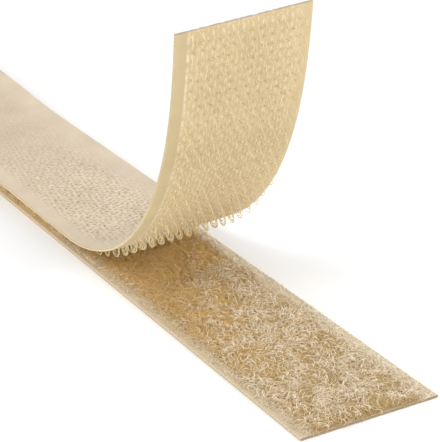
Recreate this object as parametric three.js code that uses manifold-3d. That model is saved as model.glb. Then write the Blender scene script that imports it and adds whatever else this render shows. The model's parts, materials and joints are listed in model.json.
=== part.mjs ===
// Hook and loop tape: a loop strip that lies flat and a hook strip that is pressed on it at one end
// and peels up from it at the other. Millimetres. X runs along the tape, Y across it and Z up.
// The origin is under the middle of the loop strip, on the face that it lies on.
import * as THREE from 'three';
import { mergeGeometries, mergeVertices } from 'three/addons/utils/BufferGeometryUtils.js';
import Module from 'manifold-3d';

const wasm = await Module();
wasm.setup();

// Both tapes
const TAPE_WIDTH = 25; // one inch tape
const WEB = 0.38; // woven ground
const COAT = 0.12; // resin film on the back of the ground
const BOND = 0.04; // clearance between the layers of one tape

// Loop strip
const LOOP_LENGTH = 170; // along its longer, far edge
const LOOP_CUT_SKEW = 2.3; // how much further back the scissors cut came out on the near edge
const LOOP_SELVEDGE = 2.2; // bare margin beside the pile
const PILE = 0.45; // packed roots of the pile
const MESH_CLEARANCE = 0.2; // from the pressed hooks to the packed pile

// Hook strip
const PRESSED_LENGTH = 98.6; // still fastened to the loop strip
const FLAP_LENGTH = 67.5; // peeled part, along its near edge
const FLAP_ANGLE = THREE.MathUtils.degToRad(86.2); // direction at the free end
const FLAP_EASE = 1.6; // 1 bends evenly, more bends sooner
const FLAP_CUT_SKEW = 0.8; // how much further the cut runs on the far edge
const FLAP_BREAKS = [0, 0.104, 0.285, 0.48, 0.7, 1]; // bending lines, as shares of the peeled part
const HINGE_GAP = 0.3; // between the lengths on each side of a bending line
const HOOK_SELVEDGE = 2.2; // bare margin beside the hooks
const HOOK_FILM = 0.14; // slice of the ground that holds the hook roots
const HOOK_HEIGHT = 1.35; // above that slice
const HOOK_WIRE = 0.34; // monofilament
const HOOK_REACH = 0.65; // from a hook's stem to its tip
const HOOK_PITCH = 1.8; // from hook to hook along a row
const HOOK_ROWS = 12; // rows across the tape
const HOOK_CLEARANCE = 0.55; // from a hook to the nearest bending line or cut

const STEP = 1.8; // longest straight facet along a bend

// Levels of the layers, from the face that the tape lies on
const loopWebZ = COAT + BOND;
const pileZ = loopWebZ + WEB + BOND;
const hookTipZ = pileZ + PILE + MESH_CLEARANCE;
const hookFilmZ = hookTipZ + HOOK_HEIGHT;
const hookWebZ = hookFilmZ + HOOK_FILM + BOND;
const hookCoatZ = hookWebZ + WEB + BOND;
const neutralZ = hookWebZ + WEB / 2; // the layer of the hook strip that bends without stretching

// Distances of the same layers from the neutral layer, towards the hooks
const webSpan = [-WEB / 2, WEB / 2];
const coatSpan = [-WEB / 2 - BOND - COAT, -WEB / 2 - BOND];
const filmSpan = [WEB / 2 + BOND, WEB / 2 + BOND + HOOK_FILM];

const backX = -LOOP_LENGTH / 2;
const peelX = backX + PRESSED_LENGTH;
const pileWidth = TAPE_WIDTH - 2 * LOOP_SELVEDGE;
const hookWidth = TAPE_WIDTH - 2 * HOOK_SELVEDGE;

/** Direction of the peeled part at arc length s, up from the X axis. */
function peelDirection(s) {
  const share = THREE.MathUtils.clamp(s / FLAP_LENGTH, 0, 1);
  return FLAP_ANGLE * (1 - (1 - share) ** FLAP_EASE);
}

/** The neutral layer's points at even steps of arc length, with the cut's skew to spare. */
const PATH_STEPS = 600;
const pathStep = (FLAP_LENGTH + FLAP_CUT_SKEW + STEP) / PATH_STEPS;
const path = [new THREE.Vector2(peelX, neutralZ)];
for (let i = 0; i < PATH_STEPS; i += 1) {
  const angle = peelDirection((i + 0.5) * pathStep);
  const onward = new THREE.Vector2(Math.cos(angle), Math.sin(angle)).multiplyScalar(pathStep);
  path.push(path[i].clone().add(onward));
}

/** A point of the peeled part in the XZ plane: s along it, n from the neutral layer to the hooks. */
function peelPoint(s, n = 0) {
  const at = THREE.MathUtils.clamp(s / pathStep, 0, PATH_STEPS - 1);
  const i = Math.floor(at);
  const angle = peelDirection(s);
  return path[i].clone().lerp(path[i + 1], at - i)
    .add(new THREE.Vector2(Math.sin(angle), -Math.cos(angle)).multiplyScalar(n));
}

/** The scissors cut of the loop strip: how far along X it is at a place across the tape. */
function loopCutX(y) {
  return LOOP_LENGTH / 2 - LOOP_CUT_SKEW * (0.5 - y / TAPE_WIDTH);
}

/** A flat layer between two levels. Its front end is square at x1, or follows the loop strip's cut. */
function flatLayer(width, z0, thickness, x1 = null) {
  const half = width / 2;
  const outline = new THREE.Shape([
    new THREE.Vector2(backX, -half),
    new THREE.Vector2(x1 ?? loopCutX(-half), -half),
    new THREE.Vector2(x1 ?? loopCutX(half), half),
    new THREE.Vector2(backX, half),
  ]);
  const layer = new THREE.ExtrudeGeometry(outline, { depth: thickness, bevelEnabled: false });
  return layer.translate(0, 0, z0);
}

/** A layer of the peeled part from arc length s0 to s1, between two distances from the neutral layer. */
function bentLayer(width, s0, s1, [n0, n1]) {
  const count = Math.ceil((s1 - s0) / STEP);
  const stations = Array.from({ length: count + 1 }, (_, i) => s0 + ((s1 - s0) * i) / count);
  const outline = new THREE.Shape([
    ...stations.map((s) => peelPoint(s, n1)),
    ...stations.reverse().map((s) => peelPoint(s, n0)),
  ]);
  const layer = new THREE.ExtrudeGeometry(outline, { depth: width, bevelEnabled: false });
  return layer.rotateX(Math.PI / 2).translate(0, width / 2, 0);
}

/** One hook, rooted in its film at arc length s and leaning forwards (1) or backwards (-1). */
function hookStrand(s, y, lean) {
  const root = filmSpan[1];
  const bends = [
    [0, root - HOOK_FILM / 2],
    [0, root + HOOK_HEIGHT * 0.62],
    [lean * HOOK_REACH * 0.5, root + HOOK_HEIGHT - HOOK_WIRE / 4],
    [lean * (HOOK_REACH - HOOK_WIRE / 4), root + HOOK_HEIGHT * 0.55],
  ].map(([along, n]) => peelPoint(s + along, n));
  const sides = 3;
  const points = [];
  bends.forEach((bend, i) => {
    const before = bends[Math.max(i - 1, 0)];
    const after = bends[Math.min(i + 1, bends.length - 1)];
    const across = after.clone().sub(before).normalize().rotateAround(new THREE.Vector2(), Math.PI / 2);
    for (let k = 0; k < sides; k += 1) {
      const turn = (2 * Math.PI * k) / sides;
      const at = bend.clone().addScaledVector(across, (Math.cos(turn) * HOOK_WIRE) / 2);
      points.push(at.x, y + (Math.sin(turn) * HOOK_WIRE) / 2, at.y);
    }
  });
  const faces = [];
  for (let i = 0; i + 1 < bends.length; i += 1) {
    for (let k = 0; k < sides; k += 1) {
      const a = i * sides + k;
      const b = i * sides + ((k + 1) % sides);
      faces.push(a, b + sides, b, a, a + sides, b + sides);
    }
  }
  const last = points.length / 3 - sides;
  faces.push(0, 1, 2, last, last + 2, last + 1);
  const strand = new THREE.BufferGeometry();
  strand.setAttribute('position', new THREE.Float32BufferAttribute(points, 3));
  return strand.setIndex(faces);
}

/** The hooks of one length of the peeled part, in staggered rows that lean in turns. */
function hookStrands(s0, s1) {
  const margin = HOOK_CLEARANCE + HOOK_REACH;
  const first = s0 + margin;
  const run = s1 - margin - first - HOOK_PITCH / 2;
  const count = Math.max(2, Math.floor(run / HOOK_PITCH) + 1);
  const strands = [];
  for (let row = 0; row < HOOK_ROWS; row += 1) {
    const y = hookWidth * ((row + 0.5) / HOOK_ROWS - 0.5);
    const stagger = (row % 2) * (HOOK_PITCH / 2);
    for (let i = 0; i < count; i += 1) {
      const s = first + stagger + (run * i) / (count - 1);
      strands.push(hookStrand(s, y, row % 2 ? 1 : -1));
    }
  }
  return mergeGeometries(strands);
}

/** A closed solid from a geometry's positions. */
function toSolid(geometry) {
  const bare = geometry.clone();
  bare.deleteAttribute('normal');
  bare.deleteAttribute('uv');
  const merged = mergeVertices(bare, 1e-5);
  return new wasm.Manifold(new wasm.Mesh({
    numProp: 3,
    vertProperties: new Float32Array(merged.getAttribute('position').array),
    triVerts: new Uint32Array(merged.getIndex().array),
  }));
}

/** A geometry from a solid's vertices and triangles. */
function toGeometry(solid) {
  const mesh = solid.getMesh();
  const geometry = new THREE.BufferGeometry();
  geometry.setAttribute('position', new THREE.BufferAttribute(mesh.vertProperties, 3));
  geometry.setIndex(new THREE.BufferAttribute(mesh.triVerts, 1));
  geometry.computeVertexNormals();
  return geometry;
}

/** What the scissors took off past the free end, as a block whose lower face is the cut. */
function flapOffcut() {
  const angle = peelDirection(FLAP_LENGTH);
  const onward = new THREE.Vector3(Math.cos(angle), 0, Math.sin(angle));
  const along = new THREE.Vector3(0, TAPE_WIDTH, 0).addScaledVector(onward, FLAP_CUT_SKEW).normalize();
  const thick = new THREE.Vector3(Math.sin(angle), 0, -Math.cos(angle));
  const away = new THREE.Vector3().crossVectors(along, thick).normalize();
  if (away.dot(onward) < 0) away.negate();
  const depth = 4 * (FLAP_CUT_SKEW + STEP);
  const reach = 2 * (HOOK_HEIGHT + HOOK_FILM + WEB + COAT + 2 * BOND);
  const tip = peelPoint(FLAP_LENGTH);
  const middle = new THREE.Vector3(tip.x, 0, tip.y)
    .addScaledVector(onward, FLAP_CUT_SKEW / 2)
    .addScaledVector(away, depth / 2);
  const third = new THREE.Vector3().crossVectors(along, away);
  const place = new THREE.Matrix4().makeBasis(along, away, third).setPosition(middle);
  return new THREE.BoxGeometry(2 * TAPE_WIDTH, depth, 2 * reach).applyMatrix4(place);
}

/** A named mesh with its own material. */
function piece(name, geometry, color, roughness) {
  const mesh = new THREE.Mesh(geometry, new THREE.MeshStandardMaterial({ color, roughness, metalness: 0 }));
  mesh.name = name;
  return mesh;
}

const PALE_WEAVE = 0xdcc7a2;
const WARM_WEAVE = 0xd6bd8c;
const PALE_COAT = 0xe0cfb4;
const PILE_YARN = 0xd3b882;
const HOOK_YARN = 0xe6d3a4;

const tape = new THREE.Group();
const loopStrip = new THREE.Group();
const hookStrip = new THREE.Group();
tape.add(loopStrip, hookStrip);

loopStrip.add(
  piece('loop_back_coat', flatLayer(TAPE_WIDTH, 0, COAT), PALE_COAT, 0.6),
  piece('loop_ground_web', flatLayer(TAPE_WIDTH, loopWebZ, WEB), WARM_WEAVE, 0.8),
  piece('loop_pile', flatLayer(pileWidth, pileZ, PILE), PILE_YARN, 0.7),
);

const pressedX = peelX - HINGE_GAP / 2;
hookStrip.add(
  piece('hook_rows_pressed', flatLayer(hookWidth, hookTipZ, HOOK_HEIGHT + HOOK_FILM, pressedX), HOOK_YARN, 0.4),
  piece('hook_web_pressed', flatLayer(TAPE_WIDTH, hookWebZ, WEB, pressedX), PALE_WEAVE, 0.8),
  piece('hook_coat_pressed', flatLayer(TAPE_WIDTH, hookCoatZ, COAT, pressedX), PALE_COAT, 0.6),
);

const offcut = toSolid(flapOffcut());
const lengths = FLAP_BREAKS.length - 1;
for (let k = 0; k < lengths; k += 1) {
  const isLast = k === lengths - 1;
  const s0 = FLAP_LENGTH * FLAP_BREAKS[k] + HINGE_GAP / 2;
  const s1 = FLAP_LENGTH * FLAP_BREAKS[k + 1] - HINGE_GAP / 2;
  const end = isLast ? FLAP_LENGTH + FLAP_CUT_SKEW + STEP / 2 : s1;
  const layer = (width, span) => {
    const solid = toSolid(bentLayer(width, s0, end, span));
    return isLast ? solid.subtract(offcut) : solid;
  };
  // Beside the peel line the hooks are still in the pile, as one plain layer like the pressed ones.
  const rows = k === 0
    ? bentLayer(hookWidth, s0, s1 - HOOK_CLEARANCE, [filmSpan[0], filmSpan[1] + HOOK_HEIGHT])
    : toGeometry(layer(hookWidth, filmSpan).add(toSolid(hookStrands(s0, s1))));
  hookStrip.add(
    piece(`hook_rows_${k + 1}`, rows, HOOK_YARN, 0.4),
    piece(`hook_web_${k + 1}`, toGeometry(layer(TAPE_WIDTH, webSpan)), PALE_WEAVE, 0.8),
    piece(`hook_coat_${k + 1}`, toGeometry(layer(TAPE_WIDTH, coatSpan)), PALE_COAT, 0.6),
  );
}

export default tape;
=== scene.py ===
"""Hook and loop tape, half peeled open: cloth, films, pile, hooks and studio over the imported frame."""
import json
import logging
import math
from dataclasses import KW_ONLY, dataclass, field
from enum import Enum, IntEnum
from typing import Any, Callable

import bmesh
import bpy
import numpy as np
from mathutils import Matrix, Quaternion, Vector


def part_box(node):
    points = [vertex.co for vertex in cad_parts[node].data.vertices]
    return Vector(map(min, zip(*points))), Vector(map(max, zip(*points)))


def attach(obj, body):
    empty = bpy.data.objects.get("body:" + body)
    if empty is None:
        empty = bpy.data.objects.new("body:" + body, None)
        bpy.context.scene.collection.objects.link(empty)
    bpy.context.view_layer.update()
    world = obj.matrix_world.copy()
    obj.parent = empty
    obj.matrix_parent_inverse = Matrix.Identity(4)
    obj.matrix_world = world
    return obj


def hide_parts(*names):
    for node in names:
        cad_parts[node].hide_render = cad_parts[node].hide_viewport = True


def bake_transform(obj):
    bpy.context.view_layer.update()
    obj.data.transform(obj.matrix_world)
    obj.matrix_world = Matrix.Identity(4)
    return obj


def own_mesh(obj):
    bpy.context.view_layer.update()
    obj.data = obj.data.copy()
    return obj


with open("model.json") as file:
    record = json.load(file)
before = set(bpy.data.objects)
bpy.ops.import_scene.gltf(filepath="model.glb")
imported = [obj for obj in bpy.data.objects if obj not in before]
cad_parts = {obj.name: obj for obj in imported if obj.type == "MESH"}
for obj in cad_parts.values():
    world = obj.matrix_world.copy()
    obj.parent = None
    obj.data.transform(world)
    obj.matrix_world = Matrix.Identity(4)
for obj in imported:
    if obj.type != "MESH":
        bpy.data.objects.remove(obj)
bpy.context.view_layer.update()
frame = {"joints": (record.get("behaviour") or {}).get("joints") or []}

MM = 0.001
TURN = 2 * math.pi
FLAT = "flat"
TINT = "tint"
CUT = "cut"
LOG = logging.getLogger("tape")

Array = np.ndarray
Colour = tuple[float, float, float, float]
Place = tuple[float, float, float]
Material = bpy.types.Material
Mesh = bpy.types.Mesh
Piece = bpy.types.Object

BLACK: Colour = (0.0, 0.0, 0.0, 1.0)
WHITE: Colour = (1.0, 1.0, 1.0, 1.0)


def srgb(red: float, green: float, blue: float) -> Colour:
    """Turn a colour as a screen shows it into the linear one that a shader takes.

    Args:
        red: Red, from 0 to 255.
        green: Green, from 0 to 255.
        blue: Blue, from 0 to 255.

    Returns:
        The linear colour, with full alpha.
    """
    levels = np.array([red, green, blue]) / 255
    linear = np.where(levels <= 0.04045, levels / 12.92, ((levels + 0.055) / 1.055) ** 2.4)
    return (*linear.tolist(), 1.0)


def ease(value: Array) -> Array:
    """Clip to 0 to 1 and round off both ends."""
    held = np.clip(value, 0, 1)
    return held * held * (3 - 2 * held)


def wander(along: Array, across: Array, size: float, seed: int) -> Array:
    """Uneven waves with no direction of their own, for cloth that isn't perfect.

    Args:
        along: Places along the tape, in mm.
        across: Places across the tape, in mm.
        size: The usual length of a wave, in mm.
        seed: Fixes the waves.

    Returns:
        Heights of about -1 to 1, shaped as along and across are.
    """
    waves, shortest, longest = 9, 0.65, 1.5
    draw = np.random.default_rng(seed)
    turns = draw.uniform(0, TURN, waves)
    lengths = size * draw.uniform(shortest, longest, waves)
    phases = draw.uniform(0, TURN, waves)
    total = np.zeros(np.broadcast(along, across).shape)
    for turn, length, phase in zip(turns, lengths, phases):
        total += np.sin(TURN * (along * np.cos(turn) + across * np.sin(turn)) / length + phase)
    return total / np.sqrt(waves)


def mesh_lines(first: float, last: float, step: float) -> Array:
    """Give evenly spaced places from first to last, about a step apart."""
    return np.linspace(first, last, max(2, round((last - first) / step) + 1))


class Draw(IntEnum):
    """The seeds of the trees' random numbers, one for each thing that varies."""

    KEPT = 3
    HEADING = 4
    TILT = 5
    LEAN = 6
    TALL = 7
    FORM = 8
    LONG = 9
    WIDE = 10
    HOOK_TILT = 21
    HOOK_LEAN = 22
    HOOK_HEADING = 23
    HOOK_TALL = 24
    HOOK_LONG = 25
    TINT = 77


def operator(operation: str, swapped: bool = False) -> Callable[..., "Wire"]:
    """Give a method of Wire that adds a Math node.

    Args:
        operation: What the node works out.
        swapped: Whether the wire comes second, as it does in a reflected operator.

    Returns:
        The method.
    """
    def method(wire: "Wire", *other: Any) -> "Wire":
        """Work the operation out, with another number or wire where it takes one."""
        return wire.graph.math(operation, *((*other, wire) if swapped else (wire, *other)))
    return method


class Wire:
    """An output socket that can be written into sums: each operator adds its Math node."""

    def __init__(self, graph: "Graph", socket: bpy.types.NodeSocket) -> None:
        """Keep the socket and the tree that it belongs to."""
        self.graph = graph
        self.socket = socket

    __add__ = __radd__ = operator("ADD")
    __sub__ = operator("SUBTRACT")
    __rsub__ = operator("SUBTRACT", swapped=True)
    __mul__ = __rmul__ = operator("MULTIPLY")
    __truediv__ = operator("DIVIDE")
    __rtruediv__ = operator("DIVIDE", swapped=True)
    __pow__ = operator("POWER")
    __mod__ = operator("FLOORED_MODULO")
    __lt__ = operator("LESS_THAN")
    __abs__ = operator("ABSOLUTE")
    at_least = operator("MAXIMUM")
    floor = operator("FLOOR")
    sine = operator("SINE")
    cosine = operator("COSINE")

    def held(self) -> "Wire":
        """Clip to 0 to 1."""
        return self.graph.add("ShaderNodeClamp", {"Value": self})["Result"]


def find(sockets: Any, name: str | int) -> bpy.types.NodeSocket:
    """Find a node's socket by its place, or by its name among those that are in use."""
    named = (socket for socket in sockets if socket.name == name and socket.enabled)
    return sockets[name] if isinstance(name, int) else next(named)


@dataclass(frozen=True)
class Made:
    """A node that has been added, whose outputs are asked for by name or place."""

    graph: "Graph"
    node: bpy.types.Node

    def __getitem__(self, name: str | int) -> Wire:
        """Give the output of that name, or of that place."""
        return Wire(self.graph, find(self.node.outputs, name))


class Graph:
    """A node tree, for shading or for geometry, that one method adds every node to."""

    def __init__(self, tree: bpy.types.NodeTree) -> None:
        """Keep the tree, which starts empty."""
        self.tree = tree
        tree.nodes.clear()

    def add(self, kind: str, values: dict[str | int, Any] | None = None, **settings: Any) -> Made:
        """Add a node.

        Args:
            kind: The node's type.
            values: What its inputs hold: numbers, colours, wires, or a list of wires.
            settings: Its properties, set before its inputs.

        Returns:
            The node that was made.
        """
        node = self.tree.nodes.new(kind)
        for name, value in settings.items():
            setattr(node, name, value)
        for name, value in (values or {}).items():
            socket = find(node.inputs, name)
            for part in value if isinstance(value, list) else [value]:
                if isinstance(part, Wire):
                    self.tree.links.new(part.socket, socket)
                else:
                    socket.default_value = part
        return Made(self, node)

    def math(self, operation: str, *values: Any) -> Wire:
        """Add a Math node that works on numbers or wires."""
        return self.add("ShaderNodeMath", dict(enumerate(values)), operation=operation)["Value"]

    def colour(self, share: Wire, first: Colour | Wire, second: Colour | Wire) -> Wire:
        """Mix two colours: the first where share is 0, the second where it is 1."""
        values = {"Factor": share, "A": first, "B": second}
        return self.add("ShaderNodeMix", values, data_type="RGBA")["Result"]

    def noise(self, place: Wire, scale: float | Wire, detail: float = 2.0) -> Wire:
        """Give a soft noise of about 0.25 to 0.75, with scale waves to a unit of place."""
        return self.add("ShaderNodeTexNoise", {"Vector": place, "Scale": scale, "Detail": detail})[0]

    def bump(self, height: Wire, strength: float, depth: float) -> Wire:
        """Give the normal of a relief that is so many mm deep."""
        values = {"Height": height, "Strength": strength, "Distance": depth * MM}
        return self.add("ShaderNodeBump", values)["Normal"]

    def attribute(self, name: str) -> Made:
        """Read one of the mesh's attributes."""
        return self.add("ShaderNodeAttribute", attribute_name=name)

    def split(self, place: Wire) -> tuple[Wire, Wire, Wire]:
        """Give the three parts of a vector."""
        parts = self.add("ShaderNodeSeparateXYZ", {"Vector": place})
        return parts["X"], parts["Y"], parts["Z"]

    def vector(self, x: Any, y: Any, z: Any) -> Wire:
        """Join three numbers or wires into a vector."""
        return self.add("ShaderNodeCombineXYZ", {"X": x, "Y": y, "Z": z})["Vector"]

    def times(self, first: Any, second: Any) -> Wire:
        """Multiply two vectors part by part."""
        return self.add("ShaderNodeVectorMath", {0: first, 1: second}, operation="MULTIPLY")["Vector"]

    def chance(self, low: float, high: float, seed: Draw, kind: str = "FLOAT") -> Wire:
        """Give each point or instance its own number from low to high."""
        values = {"Min": low, "Max": high, "Seed": seed}
        return self.add("FunctionNodeRandomValue", values, data_type=kind)["Value"]

    def stray(self, most: float, seed: Draw) -> Wire:
        """Give each point or instance its own number up to most, to either side of 0."""
        return self.chance(-most, most, seed)

    def tube(self, line: Wire, radius: Wire, sides: int) -> Wire:
        """Draw a line out into a closed tube.

        Args:
            line: The line, as a curve.
            radius: The tube's radius.
            sides: How many sides it has.

        Returns:
            The tube's mesh.
        """
        profile = self.add("GeometryNodeCurvePrimitiveCircle", {"Resolution": sides, "Radius": radius})
        values = {"Curve": line, "Profile Curve": profile["Curve"], "Fill Caps": True}
        return self.add("GeometryNodeCurveToMesh", values)["Mesh"]

    def take(self, ground: str, sizes: tuple[str, ...], whole: tuple[str, ...] = ()) -> Made:
        """Give a geometry tree its named inputs and its one output.

        Args:
            ground: The name of the mesh that it starts from.
            sizes: The names of its sizes.
            whole: The names of its whole numbers.

        Returns:
            The group's input node, which also has the finish.
        """
        kinds = {ground: "Geometry", **dict.fromkeys(sizes, "Float"), **dict.fromkeys(whole, "Int"),
                 "Finish": "Material"}
        for name, kind in kinds.items():
            self.tree.interface.new_socket(name, in_out="INPUT", socket_type=f"NodeSocket{kind}")
        self.tree.interface.new_socket("Result", in_out="OUTPUT", socket_type="NodeSocketGeometry")
        return self.add("NodeGroupInput")

    def strew(self, values: dict[str, Any], lie: Wire, finish: Wire) -> None:
        """End a geometry tree: each instance gets its turn and tint, and all become one dressed mesh.

        Args:
            values: The points, the instance and its scale, as Instance on Points takes them.
            lie: How each instance is turned, in radians about the three axes.
            finish: The material that they take.
        """
        turn = self.add("FunctionNodeEulerToRotation", {"Euler": lie})["Rotation"]
        strewn = self.add("GeometryNodeInstanceOnPoints", {**values, "Rotation": turn})["Instances"]
        tint = {"Geometry": strewn, "Name": TINT, "Value": self.chance(0, 1, Draw.TINT)}
        stored = self.add("GeometryNodeStoreNamedAttribute", tint, data_type="FLOAT", domain="INSTANCE")
        whole = self.add("GeometryNodeRealizeInstances", {"Geometry": stored["Geometry"]})
        smooth = self.add("GeometryNodeSetShadeSmooth", {"Geometry": whole["Geometry"]})
        dressed = self.add("GeometryNodeSetMaterial", {"Geometry": smooth["Geometry"], "Material": finish})
        self.add("NodeGroupOutput", {"Result": dressed["Geometry"]})


@dataclass(frozen=True)
class Finish:
    """What every finish has: a name, and a Principled shader that it feeds."""

    name: str

    def material(self) -> Material:
        """Build the material.

        Returns:
            The material, with this finish's nodes.
        """
        made = bpy.data.materials.new(self.name)
        made.use_nodes = True
        graph = Graph(made.node_tree)
        shader = graph.add("ShaderNodeBsdfPrincipled", self.surface(graph))
        graph.add("ShaderNodeOutputMaterial", {"Surface": shader["BSDF"]})
        return made

    def surface(self, graph: Graph) -> dict[str, Any]:
        """Give the shader's inputs."""
        raise NotImplementedError

    def flat_place(self, graph: Graph) -> Wire:
        """Give the place on the tape as it lay before it was bent, in mm."""
        return graph.attribute(FLAT)["Vector"]

    def object_place(self, graph: Graph) -> Wire:
        """Give the place in the part's frame, in mm."""
        return graph.times(graph.add("ShaderNodeTexCoord")["Object"], (1 / MM, 1 / MM, 1 / MM))


@dataclass(frozen=True)
class WovenGround(Finish):
    """Plain woven nylon: warp and weft show as a fine grid, with painted shade a little darker between the
    threads.
    """

    thread: Colour
    hollow: Colour
    cut: Colour
    _: KW_ONLY
    cut_shade: float
    painted_shade: Colour
    painted_shade_to: float
    painted_shade_fade: float = 14.0
    painted_shade_share: float = 0.85
    warp_pitch: float = 0.43
    weft_pitch: float = 0.56
    rib_share: float = 0.0
    patch: float = 6.0
    glint_share: float = 0.0
    glint_across: float = 0.9
    glint_along: float = 1.55
    glint_wide: float = 0.2
    glint_long: float = 0.36
    glint_reach: float = 10.2
    hem: Colour = BLACK
    hem_share: float = 0.0
    hem_half: float = 0.7
    seam: Colour = WHITE
    seam_half: float = 0.34
    seam_share: float = 0.5

    def painted_glints(self, graph: Graph, along: Wire, across: Wire) -> Wire:
        """Paint highlights as short pale dashes in staggered columns, with pale streaks beside the last.

        Args:
            graph: The material's tree.
            along: The place along the tape, in mm.
            across: The place across it, in mm.

        Returns:
            1 on the painted highlights and streaks, and 0 between them.
        """
        column = across / self.glint_across
        row = along / self.glint_along + (column.floor() % 2.0) * 0.5
        aside = (column % 1.0 - 0.5) / self.glint_wide
        ahead = (row % 1.0 - 0.5) / self.glint_long
        outer = abs(across)
        dash = (1.2 - aside * aside - ahead * ahead).held() * (outer < self.glint_reach)
        hem = (1.0 - abs(outer - self.glint_reach) / self.hem_half).held()
        streak = graph.noise(graph.vector(along * 0.12, across * 2.2, 0.0), 1.0)
        return dash + hem * ((streak - 0.5) * 5.0).held() * 0.7

    def surface(self, graph: Graph) -> dict[str, Any]:
        """Give the shader's inputs: the weave, then the bare hem, the painted shade along the tape, the seam
        and the cut edge; the hem and the cut edge take painted shade too.

        Args:
            graph: The material's tree.

        Returns:
            The inputs by name.
        """
        place = self.flat_place(graph)
        along, across, _ = graph.split(place)
        uneven = graph.noise(place, 1.7, 3)
        drift = (uneven - 0.5) * 0.5
        patches = graph.noise(place, 1 / self.patch, 3)
        warp = (across * (TURN / self.warp_pitch) + uneven * 2.5).sine()
        weft = (along * (TURN / self.weft_pitch) + uneven * 2.0).sine()
        weave = warp * weft * 0.5 + 0.5
        # Painted highlights: the pale dashes that the hooks' arches show, painted onto the ground.
        painted_glints = self.painted_glints(graph, along + drift, across + drift) * graph.noise(place, 0.8) * 2.0
        lit = (weave * 0.4 + patches * 0.7 + graph.noise(place, 5.0) * 0.3 - 0.22 - self.glint_share * 0.3
               + weft * (0.5 * self.rib_share) + painted_glints * self.glint_share).held()
        woven = graph.colour(lit, self.hollow, self.thread)
        outer = abs(across)
        # The bare hem takes painted shade: darker than the hooked field, and most on the near side.
        near = (0.5 - across * 0.2).held()
        bare = ((outer - self.glint_reach - 0.1) * 2.5).held() * (near * 0.5 + 0.5) * self.hem_share
        hem = graph.colour((weave * 0.3 + patches * 0.5 + weft * 0.04 - 0.2).held(), self.hem, self.thread)
        # Painted shade along the tape: on the lower web where the hook tape overhangs it, and on the flap
        # toward its free end.
        painted_dim = ((self.painted_shade_to - along) / self.painted_shade_fade).held() * self.painted_shade_share
        dimmed = graph.colour(painted_dim, graph.colour(bare, woven, hem), self.painted_shade)
        beside = (1.0 - abs(outer - self.glint_reach + drift * 0.6) / self.seam_half).held()
        stitch = graph.noise(graph.vector(along * 0.7, across * 0.3, 0.0), 1.0)
        sewn = beside * near * ((stitch - 0.42) * 6.0).held() * self.hem_share * self.seam_share
        # Painted shade on the cut ends and, more faintly, on the sides.
        cut = graph.attribute(CUT)["Fac"] * self.cut_shade
        relief = weave + uneven * 0.5 + painted_glints * self.glint_share + weft * self.rib_share
        return {"Base Color": graph.colour(cut, graph.colour(sewn, dimmed, self.seam), self.cut),
                "Roughness": 0.78 - weave * 0.16, "Normal": graph.bump(relief, 0.35, 0.05),
                "Sheen Weight": 0.15, "Sheen Roughness": 0.4}


@dataclass(frozen=True)
class PebbledFilm(Finish):
    """The resin on the back of a tape: pale on its bumps, with painted shade, duller and warmer, in its pits.
    """

    bump: Colour
    pit: Colour
    cut: Colour
    level: float
    depth: float
    cut_shade: float = 0.5

    def surface(self, graph: Graph) -> dict[str, Any]:
        """Give the shader's inputs: bumps and pits by their height, with painted shade in the pits, then
        painted shade on the cut edge.

        Args:
            graph: The material's tree.

        Returns:
            The inputs by name.
        """
        place = self.flat_place(graph)
        _, _, height = graph.split(place)
        raised = ((height - self.level) / self.depth + 0.5).held()
        clouds = graph.noise(place, 0.12, 3)
        grain = graph.noise(place, 6.0, 3)
        share = (raised * 0.75 + clouds * 0.5 + grain * 0.2 - 0.22).held()
        # Painted shade on the cut ends and, more faintly, on the sides.
        cut = graph.attribute(CUT)["Fac"] * self.cut_shade
        return {"Base Color": graph.colour(cut, graph.colour(share, self.pit, self.bump), self.cut),
                "Roughness": 0.62 - raised * 0.14 + (grain - 0.5) * 0.2,
                "Normal": graph.bump(grain, 0.25, 0.04), "Specular IOR Level": 0.4}


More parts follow.
